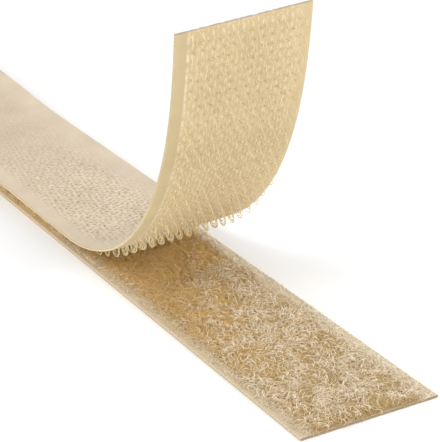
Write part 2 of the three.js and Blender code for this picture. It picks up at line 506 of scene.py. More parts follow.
@dataclass(frozen=True)
class Napped(Finish):
    """What the finishes of the pile share: the painted shade that turns it gold by the fold, and how far it
    lies out of that shade, from place to place.
    """

    deepest_shade: Colour
    pressed: Colour
    sheltered: Colour
    rim: Colour
    parting: float
    _: KW_ONLY
    slant: float = 1.5
    slant_reach: float = 14.0
    fold_shade_back: float = 26.0
    fold_shade_ahead: float = 61.0
    fold_shade_fade: float = 36.0
    fold_shade_share: float = 0.95
    deep_ahead: float = 22.0
    unshaded_from: float = 16.0
    unshaded_fade: float = 26.0
    rim_from: float = 8.4
    rim_fade: float = 2.2
    rim_share: float = 0.75
    rim_shift: float = 0.2
    rim_back: float = 12.0

    def tone(self, graph: Graph, place: Wire, standing: Wire) -> tuple[Wire, Wire]:
        """Paint gold shade on the pile by the fold, from where it fades slowly, and sooner on the far side.

        Args:
            graph: The material's tree.
            place: The place on the tape, in mm.
            standing: The colour of the pile out of the painted shade.

        Returns:
            The colour there, and how far out of the painted shade the pile is, from 0 to 1.
        """
        along, across, _ = graph.split(place)
        ahead = along - self.parting
        # A paler rim along both edges: partly the pale selvedge showing through thin pile, partly painted
        # light, most on the far side.
        share = (across * 0.2).held() * (1.0 - self.rim_share) + self.rim_share
        bare = (ahead / self.rim_back + 1.0).held() * 0.7 + 0.3
        outer = ((abs(across + self.rim_shift) - self.rim_from) / self.rim_fade).held() * share * bare
        # Painted shade by the fold: darkest just ahead of the parting, then the colour held as pressed, which
        # is painted shade too, fading out along a slanting line.
        opened = (ahead / self.slant_reach).held()
        slanted = ahead + across * opened * self.slant
        behind = (ahead / self.fold_shade_back + 1.0).held()
        before = ((self.fold_shade_ahead - slanted) / self.fold_shade_fade).held()
        fold_shade = before * behind * (1.0 - outer) * self.fold_shade_share
        deep = (1.0 - ahead / self.deep_ahead).held() * behind
        unshaded = ((slanted - self.unshaded_from) / self.unshaded_fade).held()
        plain = graph.colour(opened, self.sheltered, standing)
        gold = graph.colour(deep, self.pressed, self.deepest_shade)
        return graph.colour(fold_shade, graph.colour(outer, plain, self.rim), gold), unshaded


@dataclass(frozen=True)
class PileYarn(Napped):
    """Shiny nylon filament: painted shade, gold brown, down among the roots, and painted highlights, pale,
    where the light reaches it.
    """

    root: Colour
    shaft: Colour
    crown: Colour
    low: float
    high: float

    def surface(self, graph: Graph) -> dict[str, Any]:
        """Give the shader's inputs: painted shade and light by the filament's height, with pale crowns,
        partly at random and partly painted highlights, out of the fold's painted shade.

        Args:
            graph: The material's tree.

        Returns:
            The inputs by name.
        """
        place = self.object_place(graph)
        _, _, height = graph.split(place)
        tint = graph.attribute(TINT)["Fac"]
        clump = graph.noise(place, 0.3)
        # Painted shade low on the filament, lighter toward its crown.
        rise = ((height - self.low) / (self.high - self.low)).held()
        lower, unshaded = self.tone(graph, place, graph.colour(rise, self.root, self.shaft))
        bright = (rise - 0.45) * 2.1 + (tint - 0.5) * 1.5 + (clump - 0.5) * 1.5 + 0.2
        return {"Base Color": graph.colour((bright * (unshaded * 0.85 + 0.15)).held(), lower, self.crown),
                "Roughness": 0.34 + tint * 0.16, "Specular IOR Level": 0.6}


@dataclass(frozen=True)
class PileFelt(Napped):
    """The matted roots of the pile, in the shade of the loops above them."""

    matted: Colour
    tuft: Colour
    level: float
    depth: float

    def surface(self, graph: Graph) -> dict[str, Any]:
        """Give the shader's inputs: strands that run along the tape, with painted shade where the felt is low
        and lighter where it is raised.

        Args:
            graph: The material's tree.

        Returns:
            The inputs by name.
        """
        place = self.flat_place(graph)
        _, _, height = graph.split(place)
        raised = ((height - self.level) / self.depth + 0.5).held()
        strands = graph.noise(graph.times(place, (1.0, 2.6, 1.0)), 2.2, 4)
        share = (raised * 0.6 + strands * 1.3 - 0.5).held()
        napped, _ = self.tone(graph, place, graph.colour(share, self.matted, self.tuft))
        return {"Base Color": napped, "Roughness": 0.8 - share * 0.2,
                "Normal": graph.bump(strands, 0.6, 0.15)}


@dataclass(frozen=True)
class HookNylon(Finish):
    """Drawn monofilament, a little milky, so that light comes through each hook."""

    foot: Colour
    crown: Colour
    painted_dim: Colour
    low: float
    high: float
    painted_dim_from: float = 9.0
    painted_dim_fade: float = 18.0
    painted_dim_share: float = 0.9

    def surface(self, graph: Graph) -> dict[str, Any]:
        """Give the shader's inputs: painted highlights on the crowns by the fold, and painted shade that
        darkens the hooks toward the free end.

        Args:
            graph: The material's tree.

        Returns:
            The inputs by name.
        """
        place = self.flat_place(graph)
        along, _, height = graph.split(place)
        tint = graph.attribute(TINT)["Fac"]
        milk = graph.noise(place, 1.5)
        rise = ((height - self.low) / (self.high - self.low)).held()
        # Painted highlight on the crown, the top of each arch.
        share = (rise ** 16.0 * (tint * 0.8 + 0.5) + (milk - 0.5) * 0.2).held()
        # Painted shade that darkens the hooks toward the flap's free end, leaving them paler by the fold.
        dimmed = ((along - self.painted_dim_from) / self.painted_dim_fade).held() * self.painted_dim_share
        return {"Base Color": graph.colour(dimmed, graph.colour(share, self.foot, self.crown), self.painted_dim),
                "Roughness": 0.26 + tint * 0.12, "Specular IOR Level": 0.25, "IOR": 1.4,
                "Subsurface Weight": 1.0, "Subsurface Radius": (1.0, 0.95, 0.85),
                "Subsurface Scale": 0.4 * MM}


@dataclass(frozen=True)
class Floor(Finish):
    """Plain white paper under the tape, lit from within farther off, where the lamps do not reach."""

    paper: Colour
    glow_from: float = 200.0
    glow_fade: float = 240.0

    def surface(self, graph: Graph) -> dict[str, Any]:
        """Give the shader's inputs: paper that turns into its own light with the distance.

        Args:
            graph: The material's tree.

        Returns:
            The inputs by name.
        """
        along, across, _ = graph.split(self.object_place(graph))
        glow = (((along * along + across * across) ** 0.5 - self.glow_from) / self.glow_fade).held()
        return {"Base Color": graph.colour(glow, self.paper, BLACK),
                "Emission Color": graph.colour(glow, BLACK, WHITE),
                "Emission Strength": 1.0, "Roughness": 0.9, "Specular IOR Level": 0.1}


class Slot(Enum):
    """The record's material slots."""

    WEB = "woven_ground"
    FILM = "back_coat"
    PILE = "pile_yarn"
    HOOKS = "hook_monofilament"
    CAUGHT = "hooks_in_pile"


class LoopForm(Enum):
    """The shapes that a pile filament takes: start, two handles and end, in spans, sways and heights."""

    ARCH = ((-0.5, 0.0, 0.0), (-0.45, 0.25, 1.25), (0.35, -0.2, 1.35), (0.5, 0.1, 0.0))
    LEANING = ((-0.5, 0.0, 0.0), (-0.9, 0.6, 1.3), (0.1, -0.8, 1.5), (0.55, 0.15, 0.0))
    CURL = ((-0.4, 0.0, 0.0), (-0.4, 1.4, 1.4), (1.3, 0.9, 1.3), (0.4, -0.5, 0.3))
    HORSESHOE = ((-0.4, -0.4, 0.0), (-0.9, 1.2, 1.3), (0.9, 1.2, 1.4), (0.4, -0.4, 0.2))
    RING = ((-0.2, -0.4, 0.0), (-1.5, 0.9, 1.5), (1.5, 0.9, 1.3), (0.2, -0.5, 0.4))
    WAVE = ((-0.8, -0.1, 0.0), (-0.1, 1.2, 1.3), (0.1, -1.2, 1.3), (0.8, 0.1, 0.2))
    HOOP = ((-0.1, -0.3, 0.1), (-1.2, 1.0, 1.0), (1.6, 1.1, 1.6), (-0.1, -0.4, 0.5))


def outward(mesh: Mesh) -> None:
    """Turn the faces of closed bodies to point outwards.

    Args:
        mesh: Their mesh.
    """
    shape = bmesh.new()
    shape.from_mesh(mesh)
    volume = shape.calc_volume(signed=True)
    shape.free()
    if volume < 0:
        mesh.flip_normals()


def keep_flat(mesh: Mesh, flat: Array) -> None:
    """Keep each point's place on the flat tape as an attribute, in mm."""
    kept = mesh.attributes.new(FLAT, "FLOAT_VECTOR", "POINT")
    kept.data.foreach_set("vector", flat.astype(np.float32).ravel())


def stand(name: str, mesh: Mesh) -> Piece:
    """Put a mesh into the scene as a piece, at the origin.

    Args:
        name: The piece's name.
        mesh: Its mesh.

    Returns:
        The piece.
    """
    piece = bpy.data.objects.new(name, mesh)
    bpy.context.scene.collection.objects.link(piece)
    return piece


def grow(name: str, seeds: Mesh, graph: Graph, values: dict[str, Any]) -> Piece:
    """Run a geometry tree on a mesh and keep the result as a plain mesh.

    Args:
        name: The piece's name.
        seeds: The mesh that the tree starts from.
        graph: The tree.
        values: The tree's inputs, by name.

    Returns:
        The piece, with no modifier left.
    """
    piece = stand(name, seeds)
    growth = piece.modifiers.new("growth", "NODES")
    growth.node_group = graph.tree
    for item in graph.tree.interface.items_tree:
        if item.in_out == "INPUT" and item.name in values:
            growth[item.identifier] = values[item.name]
    depsgraph = bpy.context.evaluated_depsgraph_get()
    piece.data = bpy.data.meshes.new_from_object(
        piece.evaluated_get(depsgraph), preserve_all_data_layers=True, depsgraph=depsgraph)
    piece.modifiers.remove(growth)
    piece.data.name = name
    bpy.data.meshes.remove(seeds)
    return piece


def report(piece: Piece) -> None:
    """Log a finished piece and its faces."""
    LOG.info("%s: %d faces", piece.name, len(piece.data.polygons))


@dataclass(frozen=True)
class PeelPath:
    """The line that the hook tape follows: a little loose at its end, pressed down, then ever steeper.

    Places are in mm along the tape from the first bend.
    """

    start: tuple[float, float]
    length: float = 67.5
    angle: float = math.radians(86.2)
    easing: float = 1.6
    steps: int = 1500
    loose: float = 1.3
    loose_from: float = -47.6
    loose_run: float = 32.0

    def heading(self, along: Array) -> Array:
        """Give the tape's slope at places along it, in radians."""
        return self.angle * (1 - (1 - np.clip(along / self.length, 0, 1)) ** self.easing)

    def wrap(self, flat: Array) -> Array:
        """Bend points of the flat tape to the path.

        Args:
            flat: Points as rows of along, across and depth to the hook side, in mm.

        Returns:
            The points in the part's frame, in mm.
        """
        marks = np.linspace(0, self.length, self.steps + 1)
        middle = self.heading((marks[1:] + marks[:-1]) / 2)
        step = self.length / self.steps
        path_x = self.start[0] + np.concatenate([[0], np.cumsum(np.cos(middle)) * step])
        path_z = self.start[1] + np.concatenate([[0], np.cumsum(np.sin(middle)) * step])
        along, across, depth = flat.T
        slope = self.heading(along)
        before, after = np.minimum(along, 0), np.maximum(along - self.length, 0)
        lift = self.loose * ease((self.loose_from - along) / self.loose_run)
        x = np.interp(along, marks, path_x) + before + np.cos(slope) * after + np.sin(slope) * depth
        z = np.interp(along, marks, path_z) + lift + np.sin(slope) * after - np.cos(slope) * depth
        return np.stack([x, across, z], axis=1)

    def point(self, along: float) -> Place:
        """Give the path's point at a place along it, in metres."""
        return tuple(self.wrap(np.array([[along, 0.0, 0.0]]))[0] * MM)


@dataclass
class Layer:
    """A thin closed layer of the tape as it lies flat: one fine face, with a plain back and sides.

    Its points go round it in rows: over the fine face, then the far and the near edge of the back.
    """

    along: Array
    across: Array
    face: Array
    back: float
    side_share: float = 0.45

    def piece(self, name: str, finish: Material, path: PeelPath | None = None) -> Piece:
        """Build the layer.

        Args:
            name: The piece's name.
            finish: Its material.
            path: The path that it is bent to, if it isn't flat.

        Returns:
            The piece, which keeps as attributes its flat places, and its cut ends and sides, where the
            finishes paint shade.
        """
        face = np.stack([self.along, self.across, self.face], axis=-1)
        back = face[:, [-1, 0]]
        back[..., 2] = self.back
        rings = np.concatenate([face, back], axis=1)
        rows, around, _ = rings.shape
        here = np.arange(rows * around).reshape(rows, around)
        beside = np.roll(here, -1, axis=1)
        quads = np.stack([here[:-1], here[1:], beside[1:], beside[:-1]], axis=-1).reshape(-1, 4)
        faces = [*quads.tolist(), here[0].tolist(), here[-1, ::-1].tolist()]
        far_side, near_side = around - 3, around - 1
        fine = np.arange(around) < far_side
        sides = np.isin(np.arange(around), [far_side, near_side])
        flat = rings.reshape(-1, 3)
        placed = flat if path is None else path.wrap(flat)
        mesh = bpy.data.meshes.new(name)
        mesh.from_pydata((placed * MM).tolist(), [], faces)
        mesh.polygons.foreach_set("use_smooth", np.append(np.tile(fine, rows - 1), [False, False]))
        keep_flat(mesh, flat)
        # Cut ends take the full painted shade, sides a share of it.
        edge_shade = np.append(np.tile(sides * self.side_share, rows - 1), [1.0, 1.0])
        mesh.attributes.new(CUT, "FLOAT", "FACE").data.foreach_set("value", edge_shade.astype(np.float32))
        mesh.materials.append(finish)
        outward(mesh)
        mesh.update()
        return stand(name, mesh)


@dataclass(frozen=True)
class Patch:
    """One patch of the pile: its ends and edges on the tape, in mm, and how its loops stand."""

    name: str
    ends: tuple[float, float]
    edges: tuple[float, float]
    density: float
    height: float
    laid_to: float
    seed: int


@dataclass
class LoopTape:
    """The lower tape: a coated web that lies flat, with a napped pile between its bare selvedges.

    Sizes are in mm, densities in loops to a square mm.
    """

    fold: float
    width: float = 24.4
    selvedge: float = 1.9
    selvedge_fade: float = 0.6
    cut_skew: float = 2.3
    cut_run: float = 30.0
    mesh_step: float = 0.4
    weft_pitch: float = 0.56
    rib: float = 0.028
    rib_round: float = 0.25
    edge_wave: float = 0.05
    edge_drop: float = 0.14
    edge_round: float = 0.28
    edge_fine: float = 0.3
    edge_next: float = 0.5
    film_inset: float = 0.1
    film_wave: float = 0.03
    lap: float = 0.02
    felt_rise: float = 0.38
    felt_least: float = 0.06
    felt_wave: float = 0.13
    felt_margin: float = 1.1
    felt_clear: float = 0.1
    felt_short: float = 0.15
    felt_front: float = 2.2
    root_depth: float = 0.1
    grip_back: float = 6.0
    # How far ahead of the parting the lower web's painted shade reaches.
    painted_shade_ahead: float = 4.0
    bank_rise: float = 1.4
    bank_inner: float = 8.0
    bank_outer: float = 11.05
    bank_crest: float = 0.65
    bank_half: float = 0.9
    bank_foot: float = 0.8
    bank_step: float = 0.3
    bank_ahead: float = 4.0
    bank_fade: float = 10.0
    fringe_inner: float = 9.3
    fringe_outer: float = 11.4
    fringe_height: float = 3.0
    fringe_density: float = 12.0
    settled: float = 0.25
    loop_span: float = 1.25
    loop_sway: float = 0.72
    loop_height: float = 0.55
    loop_long: tuple[float, float] = (0.65, 1.35)
    loop_wide: tuple[float, float] = (0.7, 1.4)
    loop_tall: tuple[float, float] = (0.4, 1.35)
    loop_tilt: float = 0.75
    loop_lean: float = 0.16
    crown_level: float = 0.9
    strand: float = 0.042
    strand_sides: int = 3
    strand_joints: int = 4
    open_density: float = 19.0
    pressed_density: float = 8.0
    edge_clear: float = 0.6
    edge_fade: float = 2.4
    pile_margin: float = 0.9
    nap_heading: float = 0.95
    nap_swirl: float = 1.2
    nap_stray: float = 0.9
    open_lengths: int = 4
    pressed_lengths: int = 3
    thin_front: float = 2.0
    clump: float = 4.2
    laid_ahead: float = 6.0
    laid_fade: float = 22.0
    seed: int = 11
    fringe_seed: int = 31
    low: float = field(init=False)
    high: float = field(init=False)
    web_bottom: float = field(init=False)
    web_top: float = field(init=False)
    parting: float = field(init=False)

    def __post_init__(self) -> None:
        """Take the tape's length and levels from the frame."""
        self.parting = self.fold - self.grip_back
        lowest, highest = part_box("loop_ground_web")
        self.low, self.high = lowest.x / MM, highest.x / MM
        self.web_bottom, self.web_top = lowest.z / MM, highest.z / MM

    def cut(self, across: Array) -> Array:
        """Give how far the slanting front cut lies short of the tape's end, at places across it."""
        return self.cut_skew * (0.5 - across / self.width)

    def grid(self, along: Array, across: Array) -> tuple[Array, Array]:
        """Spread places along and across into a grid whose front end follows the slanting cut.

        Args:
            along: Places along the tape, in mm.
            across: Places across it, in mm.

        Returns:
            The grid's places along and across.
        """
        rows, columns = np.meshgrid(along, across, indexing="ij")
        share = ease((rows - (self.high - self.cut_run)) / self.cut_run)
        return rows - share * self.cut(columns), columns

    def build_cloth(self, finish: Material) -> Piece:
        """Weave the web: its selvedges are ribbed by the weft, and its edges wave a little.

        Args:
            finish: Its material.

        Returns:
            The cloth.
        """
        half = self.width / 2
        inner = half - self.selvedge - self.selvedge_fade
        side = np.append(np.linspace(0, self.edge_fine, 4), np.linspace(self.edge_next, half - inner, 8))
        across = np.concatenate([side - half, np.linspace(-inner, inner, 10)[1:-1], (half - side)[::-1]])
        along, wide = self.grid(mesh_lines(self.low, self.high, self.weft_pitch / 4), across)
        weft = np.sin(TURN * along / self.weft_pitch + 0.6 * wander(along, wide, 7, self.seed))
        to_edge = half - np.abs(wide)
        ribs = self.rib * weft * ease(to_edge / self.rib_round)
        face = self.web_top + ribs - self.edge_drop * (1 - ease(to_edge / self.edge_round))
        notch = self.edge_wave * (np.sin(np.pi * along / self.weft_pitch) - 1) * (np.abs(wide) / half) ** 12
        wide = wide + np.sign(wide) * notch
        return Layer(along, wide, face, self.web_bottom).piece("loop_cloth", finish)

    def build_film(self, finish: Material) -> Piece:
        """Coat the underside of the web.

        Args:
            finish: The film's material.

        Returns:
            The film.
        """
        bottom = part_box("loop_back_coat")[0].z / MM
        half = self.width / 2 - self.film_inset
        along, wide = self.grid(mesh_lines(self.low, self.high, self.mesh_step),
                                mesh_lines(-half, half, self.mesh_step))
        face = bottom + self.film_wave * (1 + wander(along, wide, 1.1, self.seed + 5)).clip(0, 2)
        return Layer(along, wide, face, self.web_bottom + self.lap).piece("loop_film", finish)

    def build_felt(self, finish: Material) -> Piece:
        """Mat the roots of the pile on the web, between the selvedges.

        Args:
            finish: The felt's material.

        Returns:
            The felt.
        """
        half = self.width / 2 - self.felt_margin
        lines = mesh_lines(self.low + self.felt_clear, self.high - self.felt_short, self.mesh_step)
        along, wide = self.grid(lines, mesh_lines(-half, half, self.mesh_step))
        rise = self.felt_rise + self.felt_wave * (wander(along, wide, 1.3, self.seed + 1)
                                                  + 0.6 * wander(along, wide, 0.8, self.seed + 2))
        wide = wide + 0.25 * wander(along, wide, 2.2, self.seed + 3) * (np.abs(wide) / half) ** 8
        side = ease((half - np.abs(wide)) / self.edge_fade)
        front = ease((self.high - self.cut(wide) - along) / self.felt_front + 0.1)
        face = self.web_top + self.lap + np.maximum(rise, self.felt_least) * side * front
        return Layer(along, wide, face, self.web_top - self.root_depth).piece("pile_felt", finish)

    def growth(self) -> Graph:
        """Write the tree that strews filament loops over a footprint.

        Returns:
            The tree.
        """
        graph = Graph(bpy.data.node_groups.new("pile_growth", "GeometryNodeTree"))
        given = graph.take("Footprint", (
            "Density", "Span", "Sway", "Height", "Strand", "Clump", "Heading", "Front", "Front slope",
            "Front fade", "Laid to", "Laid fade", "Edge", "Edge fade"), ("Seed",))
        size = graph.vector(given["Span"], given["Sway"], given["Height"])
        shapes = []
        for form in LoopForm:
            start, first, second, end = (graph.times(size, point) for point in form.value)
            line = graph.add("GeometryNodeCurvePrimitiveBezierSegment",
                             {"Resolution": self.strand_joints, "Start": start, "Start Handle": first,
                              "End Handle": second, "End": end})["Curve"]
            shapes.append(graph.tube(line, given["Strand"], self.strand_sides))
        points = graph.add("GeometryNodeDistributePointsOnFaces",
                           {"Mesh": given["Footprint"], "Density": given["Density"], "Seed": given["Seed"]},
                           distribute_method="RANDOM")
        place = graph.add("GeometryNodeInputPosition")["Position"]
        along, across, _ = graph.split(place)
        clump = graph.noise(place, 1.0 / given["Clump"])
        swirl = graph.noise(place, 0.6 / given["Clump"], 1.0)
        thick = ((clump - 0.5) * 2.6 + 0.78).held()
        front = ((given["Front"] + across * given["Front slope"] - along) / given["Front fade"]).held()
        edge = ((given["Edge"] - abs(across)) / given["Edge fade"]).held() * 0.7 + 0.3
        upright = ((along - given["Laid to"]) / given["Laid fade"]).held() * 0.6 + 0.4
        full = thick * 0.6 + 0.4
        kept = graph.chance(0, 1, Draw.KEPT) < full * (front * 0.5 + 0.5) * edge
        tall = graph.chance(*self.loop_tall, Draw.TALL) * full * (front * 0.6 + 0.4) * edge * upright
        heading = given["Heading"] + (swirl - 0.5) * (self.nap_swirl * TURN)
        lie = graph.vector(graph.stray(self.loop_tilt, Draw.TILT), graph.stray(self.loop_lean, Draw.LEAN),
                           heading + graph.stray(self.nap_stray, Draw.HEADING))
        scale = graph.vector(graph.chance(*self.loop_long, Draw.LONG),
                             graph.chance(*self.loop_wide, Draw.WIDE), tall)
        choice = graph.add("GeometryNodeGeometryToInstance", {"Geometry": shapes})["Instances"]
        graph.strew({"Points": points["Points"], "Selection": kept, "Instance": choice, "Pick Instance": True,
                     "Instance Index": graph.chance(0, len(shapes) - 1, Draw.FORM, "INT"), "Scale": scale},
                    lie, given["Finish"])
        return graph

    def pile_patches(self) -> list[Patch]:
        """Divide the pile: dense where the tape is open, and thinner where the hooks press on it.

        Returns:
            The patches, from the pressed end on.
        """
        marks = [*np.linspace(self.low, self.parting, self.pressed_lengths + 1),
                 *np.linspace(self.parting, self.high, self.open_lengths + 1)[1:]]
        half = self.width / 2 - self.pile_margin
        patches = []
        for place, ends in enumerate(zip(marks, marks[1:])):
            pressed = place < self.pressed_lengths
            density = self.pressed_density if pressed else self.open_density
            laid_to = self.low - self.laid_fade if pressed else self.parting + self.laid_ahead
            patches.append(Patch(f"pile_loops_{place + 1}", ends, (-half, half), density, self.loop_height,
                                 laid_to, self.seed + place))
        return patches

    def fringe_patches(self) -> list[Patch]:
        """Place the tall loops that the hooks hold up along both edges of the pressed length.

        Returns:
            The near and the far patch.
        """
        inner, outer = self.fringe_inner, self.fringe_outer
        sides = (("near", (-outer, -inner)), ("far", (inner, outer)))
        return [Patch(f"pile_fringe_{name}", (self.low, self.parting), edges, self.fringe_density,
                      self.loop_height * self.fringe_height, self.low - self.laid_fade,
                      self.fringe_seed + place) for place, (name, edges) in enumerate(sides)]

    def grow_patch(self, patch: Patch, graph: Graph, finish: Material) -> Piece:
        """Grow one patch on a flat face, which follows the slanting cut at the tape's end.

        Args:
            patch: The patch.
            graph: The growth tree.
            finish: The filament's material.

        Returns:
            The patch's loops.
        """
        (first, last), (near, far) = patch.ends, patch.edges
        corners = []
        for along, across in ((first, near), (last, near), (last, far), (first, far)):
            back = self.cut(np.array(across)) if along >= self.high else 0.0
            corners.append((float(along - back) * MM, across * MM, (self.web_top + self.root_depth) * MM))
        ground = bpy.data.meshes.new("footprint")
        ground.from_pydata(corners, [], [(0, 1, 2, 3)])
        lengths = {"Span": self.loop_span, "Sway": self.loop_sway, "Height": patch.height,
                   "Strand": self.strand, "Clump": self.clump, "Front": self.high - self.cut_skew / 2,
                   "Front fade": self.thin_front, "Laid to": patch.laid_to, "Laid fade": self.laid_fade,
                   "Edge": self.width / 2 - self.edge_clear, "Edge fade": self.edge_fade}
        values = {"Density": patch.density / MM ** 2, "Heading": self.nap_heading, "Seed": patch.seed,
                  "Front slope": self.cut_skew / self.width, "Finish": finish}
        values |= {name: length * MM for name, length in lengths.items()}
        return grow(patch.name, ground, graph, values)

    def build_banks(self, finish: Material) -> list[Piece]:
        """Draw the matted pile up into a low bank along both edges of the pressed length.

        Args:
            finish: The felt's material.

        Returns:
            The near and the far bank.
        """
        pieces = []
        end = self.parting + self.bank_ahead
        lines = mesh_lines(self.low + self.felt_clear, end, self.mesh_step)
        wide = mesh_lines(self.bank_inner, self.bank_outer, self.bank_step)
        for name, edges in (("near", -wide[::-1]), ("far", wide)):
            along, across = np.meshgrid(lines, edges, indexing="ij")
            inside = self.bank_outer - np.abs(across)
            shape = np.exp(-((inside - self.bank_crest) / self.bank_half) ** 2)
            shape = shape * ease((inside + 0.1) / self.bank_foot) * ease((end - along) / self.bank_fade)
            rise = self.bank_rise * shape * (1 + 0.2 * wander(along, across, 1.6, self.seed + 6))
            bank = Layer(along, across, self.web_top + self.lap + rise, self.web_top - self.root_depth)
            pieces.append(bank.piece(f"pile_bank_{name}", finish))
        return pieces

    def build(self, dress: "Wardrobe") -> Piece:
        """Build the whole lower tape on its body.

        Args:
            dress: The finishes.

        Returns:
            The felt, which the hook tape lies on.
        """
        cloth = self.build_cloth(dress.web)
        film = self.build_film(dress.film_below)
        felt = self.build_felt(dress.felt)
        graph = self.growth()
        banks = self.build_banks(dress.felt)
        fringe = [self.grow_patch(patch, graph, dress.pile) for patch in self.fringe_patches()]
        loops = [self.grow_patch(patch, graph, dress.pile) for patch in self.pile_patches()]
        held_up = [*banks, *fringe]
        pile = [felt, *loops, *held_up]
        for piece, slot in [(cloth, Slot.WEB), (film, Slot.FILM), *((piece, Slot.PILE) for piece in pile)]:
            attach(piece, "loop_strip")
            report(piece)
        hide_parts("loop_ground_web")
        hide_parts("loop_back_coat")
        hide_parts("loop_pile")
        self.width * MM
        (self.high - self.low) * MM
        for piece in held_up:
            self.web_top * MM
            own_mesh(piece)
        return felt


@dataclass(frozen=True)
class Span:
    """One length of the hook tape: its ends, the bodies listed for it, and where it turns between them."""

    name: str
    first: float
    last: float
    caught: bool
    bodies: tuple[str, ...]
    turning: tuple[float, float] | None = None


@dataclass
class HookTape:
    """The upper tape: a coated web with rows of cut hooks, pressed at one end and peeled up at the other.

    Sizes are in mm. Where it turns from body to body is given as shares of the peeled length.
    """

    path: PeelPath
    width: float = 25.0
    selvedge: float = 2.2
    selvedge_fade: float = 0.8
    cut_skew: float = 0.8
    cut_share: float = 0.3
    web_half: float = 0.19
    web_step: float = 0.29
    rib: float = 0.035
    weft_pitch: float = 1.1
    pick: float = 0.012
    pick_pitch: float = 0.9
    edge_drop: float = 0.12
    edge_round: float = 0.3
    breaks: tuple[float, ...] = (0.0, 0.104, 0.285, 0.48, 0.7, 1.0)
    pressed_bend: float = 10.0
    first_turn: float = 3.0
    film_out: float = 0.41
    film_step: float = 0.17
    film_inset: float = 0.05
    film_drop: float = 0.1
    lap: float = 0.03
    pebble_pitch: float = 1.08
    pebble_turn: float = 0.3
    pebble_drift: float = 0.22
    pebble_rise: float = 0.12
    pebble_far: float = 0.22
    pebble_fade: float = 55.0
    smooth_margin: float = 1.9
    margin_fade_near: float = 2.4
    margin_fade_far: float = 6.5
    column_pitch: float = 0.9
    columns: int = 24
    field_shift: float = 0.2
    row_pitch: float = 3.1
    row_stagger: float = 0.5
    cut_clear: float = 1.2
    hook_height: float = 1.5
    hook_reach: float = 1.7
    hook_wire: float = 0.068
    hook_sides: int = 4
    hook_arms: tuple[tuple[float, float, int], ...] = ((0.0, 0.86, 12), (0.93, 1.0, 3))
    hook_long: tuple[float, float] = (0.85, 1.15)
    hook_tall: tuple[float, float] = (0.9, 1.03)
    hook_tilt: float = 0.1
    hook_lean: float = 0.08
    hook_stray: float = 0.15
    root_aside: float = 0.07
    root_ahead: float = 0.06
    seed: int = 31
    low: float = field(init=False)

    def __post_init__(self) -> None:
        """Take the place of the tape's pressed end from the frame."""
        self.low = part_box("hook_web_pressed")[0].x / MM - self.path.start[0]

    def spans(self) -> list[Span]:
        """Divide the tape so that each length crosses one bending line at most.

        Returns:
            The lengths, from the pressed end to the free one.
        """
        marks = [share * self.path.length for share in self.breaks]
        middles = [(first + last) / 2 for first, last in zip(marks, marks[1:])]
        middles[0] = self.first_turn
        bodies = ["hook_strip", *(f"flap_{place}" for place in range(1, len(marks)))]
        ends = [-self.pressed_bend, *middles[:-1], self.path.length]
        turns = [-self.first_turn, *middles]
        spans = [Span("pressed", self.low, -self.pressed_bend, True, ("hook_strip",))]
        for place in range(len(marks) - 1):
            spans.append(Span(str(place + 1), *ends[place:place + 2], place == 0,
                              tuple(bodies[place:place + 2]), tuple(turns[place:place + 2])))
        return spans

    def skew(self, along: Array, across: Array) -> Array:
        """Draw the last length out at the far edge so that its cut slants."""
        share = ease((along / self.path.length - 1) / self.cut_share + 1)
        return along + share * self.cut_skew * (0.5 + across / self.width)

    def grid(self, span: Span, step: float, narrow: float = 0.0) -> tuple[Array, Array]:
        """Spread one length of the tape into a grid.

        Args:
            span: The length.
            step: How far apart the grid's lines are, in mm.
            narrow: How far it stays short of the edges, in mm.

        Returns:
            The grid's places along and across.
        """
        half = self.width / 2 - narrow
        rows, columns = np.meshgrid(mesh_lines(span.first, span.last, step), mesh_lines(-half, half, step),
                                    indexing="ij")
        return self.skew(rows, columns), columns

    def build_cloth(self, span: Span, finish: Material) -> Piece:
        """Weave one length of the web, with lengthwise ribs between its smooth selvedges.

        Args:
            span: The length.
            finish: Its material.

        Returns:
            The cloth.
        """
        along, across = self.grid(span, self.web_step)
        to_edge = self.width / 2 - np.abs(across)
        inside = ease((to_edge - self.selvedge) / self.selvedge_fade)
        ribs = np.cos(TURN * across / self.column_pitch + 0.5 * wander(along, across, 9, self.seed))
        weft = np.sin(TURN * along / self.weft_pitch + 0.7 * wander(along, across, 5, self.seed + 1))
        picks = np.sin(TURN * along / self.pick_pitch + 0.5 * wander(along, across, 4, self.seed + 6))
        face = self.web_half + self.rib * (ribs + 0.6 * weft) * inside + self.pick * picks * (1 - inside)
        face = face + self.pick * wander(along, across, 1.6, self.seed + 2)
        face = face - self.edge_drop * (1 - ease(to_edge / self.edge_round))
        return Layer(along, across, face, -self.web_half).piece(f"hook_cloth_{span.name}", finish, self.path)

    def pebbles(self, along: Array, across: Array) -> Array:
        """Press round pits into the film, in a honeycomb.

        Args:
            along: Places along the tape, in mm.
            across: Places across it, in mm.

        Returns:
            Heights from -1 down in the pits to 1 between them.
        """
        waves = np.zeros_like(along)
        for way in (self.pebble_turn, self.pebble_turn + TURN / 6, self.pebble_turn + TURN / 3):
            run = along * math.cos(way) + across * math.sin(way)
            waves += np.cos(TURN * run / (self.pebble_pitch * math.sqrt(0.75)))
        return 1 - 2 * ((waves + 1.5) / 4.5).clip(0, 1) ** 1.2

